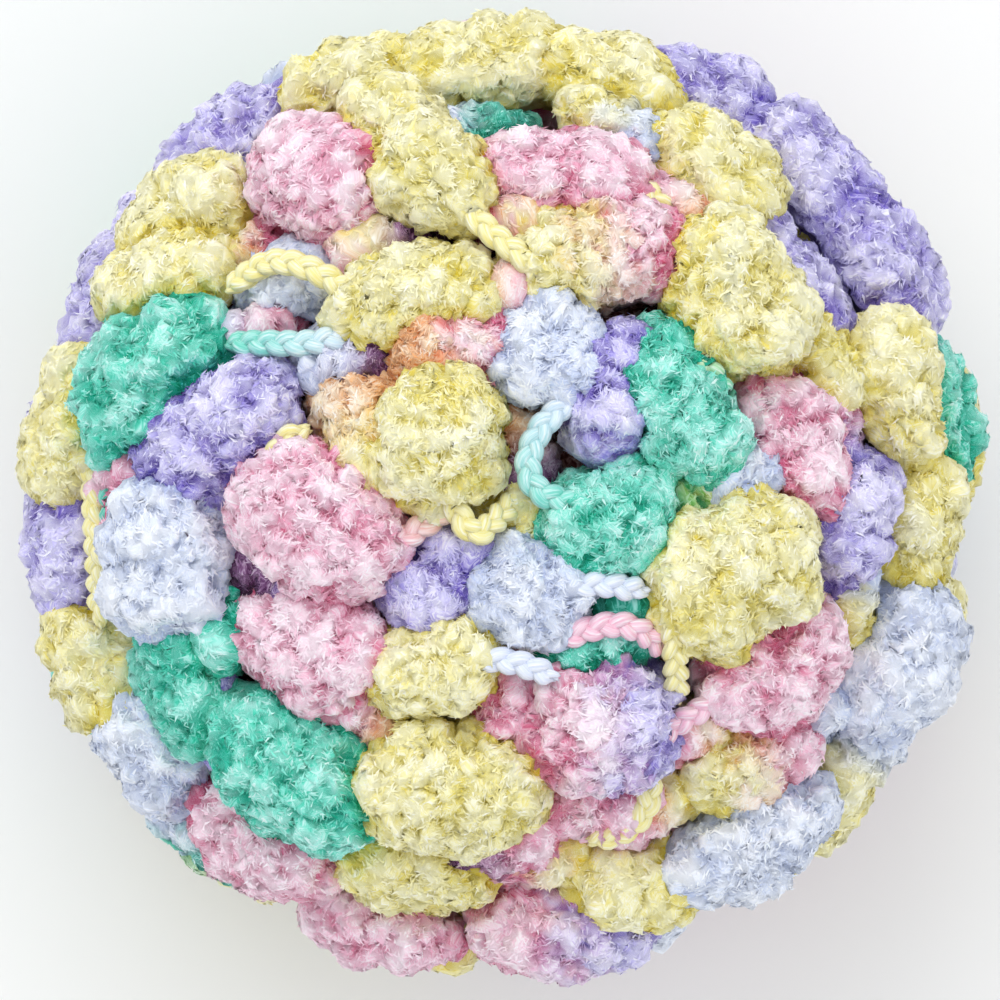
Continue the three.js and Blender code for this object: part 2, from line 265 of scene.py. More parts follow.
def lowerPompoms(turnNumber, row):
    height, radius, count, start, wander = row
    made = []
    for i in range(count):
        bearing = math.radians(start) + 2 * math.pi * i / count
        swing = math.sin(waveStep["rise"] * i + turnNumber)
        middle = (radius * math.cos(bearing), radius * math.sin(bearing), height + wander * swing)
        along = (-math.sin(bearing), math.cos(bearing), lowerPompom["slope"] * swing)
        long = lowerPompom["long"] + lowerPompom["longSpread"] * math.sin(waveStep["length"] * i + turnNumber)
        wide = lowerPompom["wide"] + lowerPompom["wideSpread"] * math.cos(waveStep["width"] * i + turnNumber)
        tail = i + dyeStep["turn"] * turnNumber
        head = tail + (i % dyeStep["fadeEvery"] == dyeStep["fadeEvery"] - 1)
        ends = dyeRun[tail % len(dyeRun)] + " " + dyeRun[head % len(dyeRun)]
        made.append(placed(middle, along, (long, wide, wide), ends))
    return made


turns = {name: [facePompom(row) for row in rows] for name, rows in faceTurns.items()}
turns["sideTurn"] = lowerPompoms(0, lowerTurns[0])
turns["lowSideTurn"] = lowerPompoms(1, lowerTurns[1])
turns["underTurns"] = [p for i in (2, 3, 4) for p in lowerPompoms(i, lowerTurns[i])]
allPompoms = [p for turn in turns.values() for p in turn]
print("pompoms placed:", len(allPompoms))


# The chain cord: three strands plaited as its stitches look from above, along a route over the pompoms
cord = {
    "strand": 1.35,      # half the width of a strand
    "flat": 0.85,        # its height against its width
    "swell": 0.16,       # how much fatter it is on top of the others
    "swing": 1.4,        # how far it goes to each side
    "rise": 0.9,         # how far it goes up and down
    "stitch": 3.9,       # length of a stitch
    "step": 0.6,         # between the rings of a strand
    "sides": 8,
    "ends": 3.0,         # length of the taper at each end of a link
    "thinnest": 0.45,    # share of the width that is left at the very end
    "farthest": 35,      # links farther than this from a pompom's middle don't touch it
}


def smoothRoute(points, step):  # a Catmull-Rom curve through the points
    pts = np.array(points, float)
    pts = np.vstack([2 * pts[0] - pts[1], pts, 2 * pts[-1] - pts[-2]])
    out = []
    for i in range(1, len(pts) - 2):
        n = max(2, int(np.linalg.norm(pts[i + 1] - pts[i]) / step))
        t = np.linspace(0, 1, n, endpoint=False)[:, None]
        a, b, c, d = pts[i - 1:i + 3]
        out.append(0.5 * (2 * b + (c - a) * t + (2 * a - 5 * b + 4 * c - d) * t ** 2
                          + (3 * b - a - 3 * c + d) * t ** 3))
    return np.vstack(out + [pts[-2:-1]])


cordLines = []
for route, ends in links:
    line = smoothRoute([(x, y, domeHeight(x, y) + rise) for x, y, rise in route], cord["step"])
    cordLines.append((line, ends.split()))


# The pile: a skin of tufts on soft clumps, all round a pompom's firm middle
pile = {
    "pointArea": 0.87,   # of each point of the skin, as a share of its step squared: an even lattice
    "jitter": 0.2,       # how far the points stray from the lattice, as a share of the step
    "middleDepth": 1.5,  # how deep in the pile the skin lies on the whole
    "hiddenStep": 2.8,   # between the skin's points where neighbours hide them
    "hiddenLevel": 0.7,  # how high in the pile that is found out
    "skinWithin": 0.83,  # the skin goes this deep into a neighbour, as a share of its size
    "wispsWithin": 0.88,  # and the wisps this deep
    "facesCore": -0.35,  # pile that faces the core more than this is hidden
    "belowFloor": -2,    # and so is pile that would lie lower than this
    "depth": 3.2,        # from the firm middle to the tops of the tufts
    "leastFirm": 3,      # half the least size of the firm middle
    "clump": {"every": 4.7, "wide": 3.2, "tall": 2.0, "uneven": 0.35, "ragged": 1.0, "wave": 1.2,
              "drawn": 0.2},
    "tuft": {"every": 2.5, "wide": 1.65, "tall": 1.5, "uneven": 0.4, "ragged": 0.6, "wave": 2.2,
             "drawn": 0.62},
    "fewestDomes": 8,
    "domeJitter": 0.35,  # as a share of the way from one to the next
    "waves": 6,          # sine waves that make the domes' edges ragged
    "waveSpread": (0.6, 1.5),
    "fan": 0.8,          # how much the fibres of a tuft fan out from its middle
    "lean": 1.0,         # how much they lie along it
    "spread": 0.4,       # how far the sides of a tuft bulge over the partings
    "crumb": 0.16,       # unevenness from point to point
    "outward": 1.3,      # how much tufts lie from the pompom's top to its edges
    "lump": 0.7,         # slow unevenness of a pompom's outline
    "lumpWave": 0.28,    # in radians for each mm
    "lumpWaves": 3,
    "valleyShade": 0.2,       # this share of a neighbour's size round it, the pile shows its deeper dye as painted shade
    "besideCord": 2.3,   # the pile stays this far from a cord's middle line
    "floorGap": 0.25,
    "fibreMiddle": 0.2,  # nearer than this to the middle of its tuft, the fibre pattern fades
    "fibreShift": 20.0,  # from tuft to tuft, so that no two have the same pattern
}
random = np.random.default_rng(7)
anyPhase = (0, 6)  # radians, nearly a full turn
goldenAngle = math.pi * (3 - math.sqrt(5))


def surfacePlaces(half, count, jitter):  # even places over a pompom of that size, and the way out at each
    fullness, roundness = pompomShape["fullness"], pompomShape["roundness"]
    s = np.linspace(-1, 1, pompomShape["slices"])
    ring = np.clip(1 - np.abs(s) ** fullness, 0, 1) ** (1 / roundness)
    side = (half[1] + half[2]) / 2
    arc = np.hypot(np.gradient(s * half[0]), np.gradient(ring * side))
    area = np.concatenate([[0], np.cumsum((ring[1:] + ring[:-1]) / 2 * side * arc[1:])])
    share = np.interp((np.arange(count) + 0.5) / count * area[-1], area, s)
    share = share + random.normal(0, jitter / half[0], count)
    share = np.clip(share, -pompomShape["ends"], pompomShape["ends"])
    angle = goldenAngle * np.arange(count) + random.uniform(*anyPhase)
    angle += random.normal(0, jitter / side, count)
    r = (1 - np.abs(share) ** fullness) ** (1 / roundness)
    local = np.stack([share * half[0], r * np.cos(angle) * half[1], r * np.sin(angle) * half[2]], 1)
    slope = np.stack([fullness * np.abs(share) ** (fullness - 1) * np.sign(share) / half[0],
                      roundness * r ** (roundness - 1) * np.cos(angle) / half[1],
                      roundness * r ** (roundness - 1) * np.sin(angle) / half[2]], 1)
    return local, unit(slope)


def pompomArea(half):  # of the ellipsoid with those half sizes, by Thomsen's formula
    p = 1.6
    a, b, c = half ** p
    return 4 * math.pi * ((a * b + a * c + b * c) / 3) ** (1 / p)


def reach(points, pom):  # how far out points are: 1 on the pompom's outline, less inside it
    local = (points - pom["middle"]) @ pom["axes"].T / pom["half"]
    around = np.hypot(local[:, 1], local[:, 2])
    powers = np.abs(local[:, 0]) ** pompomShape["fullness"] + around ** pompomShape["roundness"]
    return powers ** (2 / (pompomShape["fullness"] + pompomShape["roundness"]))


def neighbours(pom):
    return [other for other in allPompoms if other is not pom
            and np.linalg.norm(other["middle"] - pom["middle"]) < pompomShape["farthest"]]


def paintedValleyShadeAt(points, pom):  # 1 where a neighbour touches the pompom, and 0 away from them all: how much painted shade the dye takes there
    nearest = np.min([reach(points, other) for other in neighbours(pom)], 0)
    return np.clip((1 + pile["valleyShade"] - nearest) / pile["valleyShade"], 0, 1)


def shows(points, out, pom, within):  # whether the core and the neighbours leave each point in sight
    fromCore = (points - coreMiddle) / coreSize
    seen = (fromCore ** 2).sum(1) >= 1
    seen &= (out * unit(fromCore / coreSize)).sum(1) > pile["facesCore"]
    seen &= points[:, 2] > pile["belowFloor"]
    for other in neighbours(pom):
        seen &= reach(points, other) > within
    return seen


def fromCords(points):  # how far each point is from the nearest cord, and which way
    near = np.full(len(points), 99.0)  # farther than any that matters
    way = np.zeros((len(points), 3))
    for line, _ in cordLines:
        if np.linalg.norm(line - points.mean(0), axis=1).min() < cord["farthest"]:
            gaps = np.linalg.norm(points[:, None] - line[None], axis=2)
            k = gaps.argmin(1)
            closer = gaps.min(1) < near
            near[closer] = gaps.min(1)[closer]
            way[closer] = (points - line[k])[closer]
    return near, unit(way)


def between(low, high, x):  # a soft step from 0 at low to 1 at high
    t = np.clip((x - low) / (high - low), 0, 1)
    return t * t * (3 - 2 * t)


# How a pompom's dye changes along it, and from the roots of its pile to the tips, with painted shade low in
# the pile and in the valleys and painted highlight at the tips
dyeing = {
    "fade": 0.6111,      # from the middle to where only one end's dye is left, as a share of the half
    "tuftStray": 0.15,   # how far a tuft's dye strays from the next one's
    "fibreStray": 0.0,   # and a fibre's from its tuft's
    "rootShadeLevels": (-0.1, 0.7),  # height in the pile where the root's deeper dye, partly painted shade, starts to go, and where it is gone
    "tipHighlightLevels": (0.5, 1.15),  # height where the tip's paler dye, partly painted highlight, starts, and where it is full
    "skinShadeDrop": 0.2,     # the skin is dyed as if it lay this much lower: painted shade under the wisps
    "wispShadeDrop": 0.08,    # and the wisps this much
    "valleyShadeDrop": 0.35,  # and both this much in the valleys, as painted shade
    "valleyShadeDeepens": 0.35,  # how much deeper every dye is there, as painted shade
}


def dyeAt(pom, share):  # root, lock and tip colour where each lock lies between the yarn's tail and its head
    a, b = (dyeColours[name] for name in pom["dyes"])
    stray = random.normal(0, dyeing["fibreStray"], len(share))
    t = between(-dyeing["fade"], dyeing["fade"], share + stray)[:, None, None]
    return a * (1 - t) + b * t


def shadedByHeight(shades, level):  # root, lock and tip colour by how high a place is in the pile: deeper low down as painted shade, paler at the top as painted highlight
    root = (1 - between(*dyeing["rootShadeLevels"], level))[:, None]
    tip = between(*dyeing["tipHighlightLevels"], level)[:, None]
    return shades[:, 2] * root + shades[:, 0] * tip * (1 - root) + shades[:, 1] * (1 - root) * (1 - tip)


def roundFaces(directions):  # triangles that join directions all round, facing out, and which points they use
    bm = bmesh.new()
    for d in directions:
        bm.verts.new(d)
    bm.verts.index_update()
    bmesh.ops.convex_hull(bm, input=bm.verts)
    faces = np.array([[v.index for v in f.verts] for f in bm.faces])
    bm.free()
    a, b, c = (directions[faces[:, k]] for k in range(3))
    inward = (np.cross(b - a, c - a) * (a + b + c)).sum(1) < 0
    faces[inward] = faces[inward][:, ::-1]
    used, places = np.unique(faces, return_inverse=True)
    return places.reshape(-1, 3), used


def slopesOf(verts, faces):  # the way out of the surface at each point
    a, b, c = (verts[faces[:, k]] for k in range(3))
    across = np.cross(b - a, c - a)
    total = np.zeros_like(verts)
    for k in range(3):
        np.add.at(total, faces[:, k], across)
    return unit(total)


# Domes all over a pompom, each drawn out one way: at each point the height of the highest, how far from its
# middle that point is, the way it is drawn out, and its number
def domesOn(firm, at, size):
    count = max(pile["fewestDomes"], int(pompomArea(firm) / size["every"] ** 2))
    centres = surfacePlaces(firm, count, pile["domeJitter"] * size["every"])[0]
    scale = 1 + size["uneven"] * random.uniform(-1, 1, count)
    # sine waves in many directions push the points about, so that the domes' edges are ragged
    n = pile["waves"]
    waves = unit(random.normal(size=(n, 3))) * size["wave"] * random.uniform(*pile["waveSpread"], (n, 1))
    pushes = unit(random.normal(size=(n, 3))) * size["ragged"]
    at = at + np.sin(at @ waves.T + random.uniform(*anyPhase, n)) @ pushes
    ways = unit(centres / firm * [1, 1, 0] * pile["outward"] + random.normal(size=(count, 3)))
    off = at[:, None] - centres[None]
    along = np.einsum("ijk,jk->ij", off, ways)
    gaps = np.sqrt(np.clip((off ** 2).sum(2) - size["drawn"] * along ** 2, 0, None))
    domes = scale * np.sqrt(np.clip(1 - (gaps / (size["wide"] * scale)) ** 2, 0, 1))
    k = np.where(domes.max(1) > 0, domes.argmax(1), gaps.argmin(1))
    return domes[np.arange(len(at)), k], at - centres[k], ways[k], k


def pileSkin(pom, step):
    half = pom["half"]
    firm = np.maximum(half - pile["depth"], pile["leastFirm"])
    pointArea = pile["pointArea"] * step ** 2
    count = int(pompomArea(half - pile["middleDepth"]) / pointArea)
    at, out = surfacePlaces(firm, count, pile["jitter"] * step)
    world = (at + out * pile["depth"] * pile["hiddenLevel"]) @ pom["axes"] + pom["middle"]
    seen = shows(world, out @ pom["axes"], pom, pile["skinWithin"])
    seen[::int((pile["hiddenStep"] / step) ** 2)] = True
    at, out = at[seen], out[seen]
    faces, used = roundFaces(unit(at / half))
    at, out = at[used], out[used]

    clump, fromClump = domesOn(firm, at, pile["clump"])[:2]
    tuft, fromTuft, alongTuft, tuftIndex = domesOn(firm, at, pile["tuft"])
    waves = random.normal(size=(pile["lumpWaves"], 3)) * pile["lumpWave"]
    lump = np.sin(at @ waves.T + random.uniform(*anyPhase, pile["lumpWaves"])).sum(1) * pile["lump"]
    crumb = random.normal(0, pile["crumb"], (len(at), 3))
    rise = clump * pile["clump"]["tall"] + tuft * pile["tuft"]["tall"] + lump
    flow = fromTuft / pile["tuft"]["wide"] + fromClump / pile["clump"]["wide"]
    bulge = flow * tuft[:, None] * pile["spread"]
    comb = flow * pile["fan"] + alongTuft * pile["lean"]
    world = (at + out * rise[:, None] + bulge + crumb) @ pom["axes"] + pom["middle"]
    gapToCord, way = fromCords(world)
    world += way * np.clip(pile["besideCord"] - gapToCord, 0, None)[:, None]
    world[:, 2] = np.maximum(world[:, 2], pile["floorGap"])

    mixing = random.normal(0, dyeing["tuftStray"], tuftIndex.max() + 1)
    shades = dyeAt(pom, at[:, 0] / firm[0] + mixing[tuftIndex])
    # the dye is deeper where neighbours touch: painted shade in the valleys between pompoms
    valleyShade = paintedValleyShadeAt(world, pom)
    level = (tuft + clump) / 2 - dyeing["valleyShadeDrop"] * valleyShade
    valleyShadePower = 1 + dyeing["valleyShadeDeepens"] * valleyShade[:, None]
    # the fibres run out from the middle of each tuft: two numbers for the bearing, and one for the way out
    far = np.linalg.norm(fromTuft, axis=1)
    ring = fromTuft[:, :2] / np.maximum(far, pile["fibreMiddle"])[:, None] * pile["tuft"]["wide"]
    fibre = np.column_stack([ring, far + pile["fibreShift"] * tuftIndex])
    # the skin's dye takes more painted shade than the wisps', for the shade under them
    return {"verts": world, "faces": faces, "uvs": discMap(unit(at / half), faces),
            "colours": shadedByHeight(shades, level - dyeing["skinShadeDrop"]) ** valleyShadePower,
            "above": shadedByHeight(shades, level - dyeing["wispShadeDrop"]) ** valleyShadePower,
            "fibre": fibre, "shades": shades, "pointArea": pointArea,
            "out": out @ pom["axes"], "slope": slopesOf(world, faces), "comb": comb @ pom["axes"],
            "seen": shows(world, out @ pom["axes"], pom, pile["wispsWithin"])}


# Two discs side by side on a map, for the top and the under half of a pompom
discs = {"size": (0.2, 0.4), "shift": 0.25, "leastRise": -0.6}


def discMap(directions, faces):  # where each corner of each face lies on discs that keep areas even
    under = directions[faces].mean(1)[:, 2] < 0
    d = directions[faces] * np.where(under, -1, 1)[:, None, None] ** np.array([0, 0, 1])
    disc = d[:, :, :2] / np.sqrt(1 + np.maximum(d[:, :, 2:], discs["leastRise"]))
    shift = np.where(under, discs["shift"], -discs["shift"])[:, None, None] * [1, 0]
    return 0.5 + disc * discs["size"] + shift


# Wisps: fine bunches of fibre all over the skin, combed along their tuft, with their tips free
wisps = {
    "long": 1.8,
    "longSpread": (0.6, 1.4),  # the shortest and the longest, as shares of that
    "width": 0.19,       # from the middle line to each side
    "widthSpread": (0.5, 1.5),
    "thick": 0.06,
    "sunk": 0.12,        # how far the foot lies under the skin
    "behind": 0.35,      # this share of the length lies behind the root
    "bend": 0.4,         # where the bend is, as a share of the length
    "tipRise": 0.35,
    "riseSpread": (-0.3, 1),
    "curl": 0.9,         # how far the tip may go to either side
    "curlBack": 0.5,     # the bend goes the other way by this share of it
    "stray": 0.35,       # from the way that the tuft is combed
    "outward": 0.8,      # how much the way out of the pompom counts against the slope of the skin
    "fullAt": 0.8,       # farther apart than this, wisps are larger to cover as much
    "growth": 0.6,
    "cordGap": 0.2,      # beside a cord, over the gap of the skin
    "floorSteps": (0, 0.1, 0.2, 0.15),  # keep the four points apart at the floor
    "roundShade": 0.1,   # how much each is shaded as a round bunch
    "underShade": 0.5,   # how much the way out counts for its under faces
    "paintedTipHighlight": (0.0, 0.05, 0.05, 0.17),  # share of the tip's paler dye, partly painted highlight, at its foot, its two sides and its tip
    "tone": 0.03,        # how much lighter or darker one is than the next
}
wispsAcross = 220  # each wisp has its own cell of its piece's map
# its points are the foot, the two sides of the bend and the tip
wispFaces = np.array([(0, 2, 1), (1, 2, 3), (0, 1, 3), (0, 3, 2)])
wispUvs = np.array([[(0.5, 0), (1, 0.5), (0.5, 0.5)], [(0.5, 0.5), (1, 0.5), (0.5, 1)],
                    [(0.25, 0), (0.5, 0.5), (0.25, 1)], [(0.25, 0), (0.25, 1), (0, 0.5)]])


def wispMesh(skin, every):  # closed kites of four faces, bent at the middle
    shown = skin["faces"][skin["seen"][skin["faces"]].all(1)]
    n = int(skin["seen"].sum() * skin["pointArea"] / every ** 2)
    if len(shown) == 0 or n == 0:
        return None
    corners = shown[random.integers(0, len(shown), n)]
    share = random.dirichlet((1, 1, 1), n)[:, :, None]
    keys = ("verts", "out", "slope", "comb", "fibre", "above")
    mixed = [(skin[key][corners] * share).sum(1) for key in keys]
    clear = fromCords(mixed[0])[0] > pile["besideCord"] + wisps["cordGap"]
    root, out, slope, comb, fibre, colour = (rows[clear] for rows in mixed)
    first = corners[clear, 0]
    tips = skin["shades"][first, 0]
    fibre[:, 2] = skin["fibre"][first, 2]
    n = len(root)
    up = unit(slope + wisps["outward"] * out)
    way = comb + random.normal(0, wisps["stray"], (n, 3))
    lean = unit(way - up * (way * up).sum(1, keepdims=True))
    size = max(1, every / wisps["fullAt"]) ** wisps["growth"]
    long = wisps["long"] * size * random.uniform(*wisps["longSpread"], (n, 1))
    side = np.cross(up, lean)
    curl = side * random.uniform(-1, 1, (n, 1)) * wisps["curl"]
    rise = wisps["tipRise"] * random.uniform(*wisps["riseSpread"], (n, 1))
    foot = root - up * wisps["sunk"] - lean * long * wisps["behind"]
    tip = root + up * rise + lean * long * (1 - wisps["behind"]) + curl
    middle = foot * (1 - wisps["bend"]) + tip * wisps["bend"] + up * wisps["thick"] - curl * wisps["curlBack"]
    wide = side * wisps["width"] * size * random.uniform(*wisps["widthSpread"], (n, 1))
    verts = np.stack([foot, middle + wide, middle - wide, tip], 1)
    verts[:, :, 2] = np.maximum(verts[:, :, 2], pile["floorGap"] + np.array(wisps["floorSteps"]))
    # light spreads inside the pile, so a wisp is shaded mostly as the pompom under it, and its under faces
    # are told from the upper ones by the way each really faces
    roof = unit(unit(verts - root[:, None]) * wisps["roundShade"] + (out + up)[:, None] / 2)
    under = unit(wisps["underShade"] * out - up)[:, None, None]
    a, b, c = (verts[:, wispFaces[:, k]] for k in range(3))
    facesOut = (np.cross(b - a, c - a) * up[:, None]).sum(2) > 0
    normals = np.where(facesOut[:, :, None, None], roof[:, wispFaces], under)
    # each wisp turns paler towards its tip, partly as painted highlight
    paintedTipHighlight = np.array(wisps["paintedTipHighlight"])[None, :, None]
    colours = colour[:, None] * (1 - paintedTipHighlight) + tips[:, None] * paintedTipHighlight
    colours = colours * (1 + random.normal(0, wisps["tone"], (n, 1, 1)))
    fibre = np.zeros((n, 4, 3)) + fibre[:, None]
    return {"verts": verts, "faces": wispFaces, "uvs": wispUvs, "colours": colours, "fibre": fibre,
            "normals": normals}


# The empty edge round each map in its cell, as a share of the cell
mapEdge = {"skin": 0.04, "copy": 0.06}


def inCell(uvs, cell, across, edge):  # maps in their own cells of a square of cells
    corner = np.stack([cell % across, cell // across], -1) / across
    return (edge + (1 - 2 * edge) * uvs) / across + corner


def joinedSkins(skins):
    across = math.ceil(math.sqrt(len(skins)))
    start, out = 0, {"verts": [], "faces": [], "uvs": [], "colours": [], "fibre": []}
    for cell, skin in enumerate(skins):
        for key in ("verts", "colours", "fibre"):
            out[key].append(skin[key])
        out["faces"].append(skin["faces"] + start)
        out["uvs"].append(inCell(skin["uvs"], cell, across, mapEdge["skin"]).reshape(-1, 2))
        start += len(skin["verts"])
    return {key: np.vstack(rows) for key, rows in out.items()}


def joinedCopies(parts, across):  # many copies of small meshes, each copy in a cell of its own
    start, cell = 0, 0
    out = {"verts": [], "faces": [], "uvs": [], "colours": [], "fibre": [], "normals": []}
    for p in parts:
        n, m = p["verts"].shape[:2]
        for key in ("verts", "colours", "fibre", "normals"):
            out[key].append(p[key].reshape(-1, 3))
        out["faces"].append((p["faces"][None] + (start + m * np.arange(n))[:, None, None]).reshape(-1, 3))
        cells = (cell + np.arange(n))[:, None, None]
        out["uvs"].append(inCell(p["uvs"][None], cells, across, mapEdge["copy"]).reshape(-1, 2))
        start += n * m
        cell += n
    if cell > across ** 2:
        raise RuntimeError("too many copies for the map")
    return {key: np.vstack(rows) for key, rows in out.items()}


def pieceFrom(name, made, material):
    faces = made["faces"]
    mesh = bpy.data.meshes.new(name)
    mesh.vertices.add(len(made["verts"]))
    mesh.vertices.foreach_set("co", (made["verts"] * mm).ravel())
    mesh.loops.add(faces.size)
    mesh.loops.foreach_set("vertex_index", faces.ravel())
    mesh.polygons.add(len(faces))
    mesh.polygons.foreach_set("loop_start", np.arange(0, faces.size, 3))
    mesh.update(calc_edges=True)
    mesh.polygons.foreach_set("use_smooth", np.ones(len(faces), bool))
    mesh.uv_layers.new(name="OFBake").data.foreach_set("uv", made["uvs"].ravel())
    colours = made["colours"].clip(0, 1)
    tint = mesh.color_attributes.new("dye", "FLOAT_COLOR", "POINT")
    tint.data.foreach_set("color", np.hstack([colours, np.ones((len(colours), 1))]).ravel())
    mesh.attributes.new("fibre", "FLOAT_VECTOR", "POINT").data.foreach_set("vector", made["fibre"].ravel())
    mesh.materials.append(material)
    mesh.validate()
    if "normals" in made:
        mesh.normals_split_custom_set(made["normals"])
    piece = bpy.data.objects.new(name, mesh)
    bpy.context.scene.collection.objects.link(piece)
    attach(piece, "root")
    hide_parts("wound_ball")
    print(name, len(faces), "triangles")


def addNode(tree, kind, settings=None, links=None):  # a node with its settings and what feeds its sockets
    node = tree.nodes.new(kind)
    for key, value in (settings or {}).items():
        if key in node.inputs:
            node.inputs[key].default_value = value
        else:
            setattr(node, key, value)
    for key, source in (links or {}).items():
        tree.links.new(source, node.inputs[key])
    return node


# Brushed polyester microfibre pile: matt, soft at the edges of each curl, with fine fibres lying along it.
# Real fibres are some 0.02 mm thick, so bunches of them 0.4 mm wide are drawn, which the picture can show
pileLook = {
    "name": "brushed polyester microfibre",
    "fibre": (0.4, 0.4, 2.4),  # size of a bunch in mm: twice across it, and along it
    "grain": 0.55,       # how rough the fibre pattern is
    "waver": 0.8,        # how much the fibres wander
    "noise": (0.32, 0.68),  # the pattern's lows, between the bunches, and its highs, on them
    "streakShadeGamma": (2.2, 0.45),  # over 1 the dye looks deeper, partly painted shade between bunches, and under 1 paler, partly painted highlight on them
    "bump": 0.5,
    "bumpDeep": 0.5,
    "roughness": 0.8,
    "sheen": 0.1,
    "sheenRoughness": 0.4,
    "specular": 0.2,
}


def fibreFinish(look):  # dyed fibre, with its pattern of fibres in relief and in the dye, which also carries painted shade between bunches and painted highlight on them
    mat = bpy.data.materials.new(look["name"])
    mat.use_nodes = True
    tree = mat.node_tree
    tree.nodes.clear()
    dye = addNode(tree, "ShaderNodeAttribute", {"attribute_name": "dye"})
    place = addNode(tree, "ShaderNodeAttribute", {"attribute_name": "fibre"})  # mm round and along the fibres
    along = addNode(tree, "ShaderNodeMapping", {"Scale": [1 / size for size in look["fibre"]]},
                    {"Vector": place.outputs["Vector"]})
    fibres = addNode(tree, "ShaderNodeTexNoise",
                     {"Scale": 1.0, "Detail": 2.0, "Roughness": look["grain"], "Distortion": look["waver"]},
                     {"Vector": along.outputs[0]})
    # the fibre pattern sets the gamma: partly the fibres' uneven tone, partly painted shade between bunches
    # and painted highlight on them
    depth = addNode(tree, "ShaderNodeMapRange",
                    {"From Min": look["noise"][0], "From Max": look["noise"][1],
                     "To Min": look["streakShadeGamma"][0], "To Max": look["streakShadeGamma"][1]},
                    {"Value": fibres.outputs["Fac"]})
    tone = addNode(tree, "ShaderNodeGamma", None, {"Color": dye.outputs["Color"], "Gamma": depth.outputs[0]})
    bump = addNode(tree, "ShaderNodeBump", {"Strength": look["bump"], "Distance": look["bumpDeep"] * mm},
                   {"Height": fibres.outputs["Fac"]})
    skin = addNode(tree, "ShaderNodeBsdfPrincipled",
                   {"Roughness": look["roughness"], "Sheen Weight": look["sheen"],
                    "Sheen Roughness": look["sheenRoughness"], "Specular IOR Level": look["specular"]},
                   {"Base Color": tone.outputs[0], "Normal": bump.outputs[0]})
    addNode(tree, "ShaderNodeOutputMaterial", links={"Surface": skin.outputs[0]})
    return mat


pileFinish = fibreFinish(pileLook)
# The step between the points of each turn's skin, and between its wisps
finenessOf = {
    "crownTurn": (0.8, 0.58), "middleTurn": (0.88, 0.69), "outerTurn": (0.98, 0.76), "rimTurn": (1.05, 0.82),
    "sideTurn": (1.15, 1.25), "lowSideTurn": (1.4, 1.8), "underTurns": (1.8, 2.5),
}
for name, poms in turns.items():
    step, every = finenessOf[name]
    skins = [pileSkin(pom, step) for pom in poms]
    fine = [made for made in (wispMesh(skin, every) for skin in skins) if made]
    pieceFrom(name, joinedSkins(skins), pileFinish)
    pieceFrom(name + "Wisps", joinedCopies(fine, wispsAcross), pileFinish)
print("pompoms made")


# How the dye of a strand goes from above to below, paler on top as painted highlight and deeper in the dips
# and down the sides as painted shade, and how its fibre pattern lies
strandDyeAndShade = {
    "dipShadeRange": (-1, 0.4),  # from the lowest place of a stitch to where the painted shade is gone
    "flankShadeRange": (0.1, 0.8),  # from the top of a strand to where the painted shade down its side is deepest
    "dipShade": 0.45,         # how much painted shade deepens the dye in the dips
    "flankShade": 0.35,       # and down the sides
    "tip": 0.7,          # share of the tip's dye on top, as painted highlight
    "root": 0.4,         # and of the root's dye below, as painted shade
    "fibreTurn": 0.8,    # from side to side of a strand, in the pattern's mm
    "fibreShift": 7.0,   # from strand to strand
}


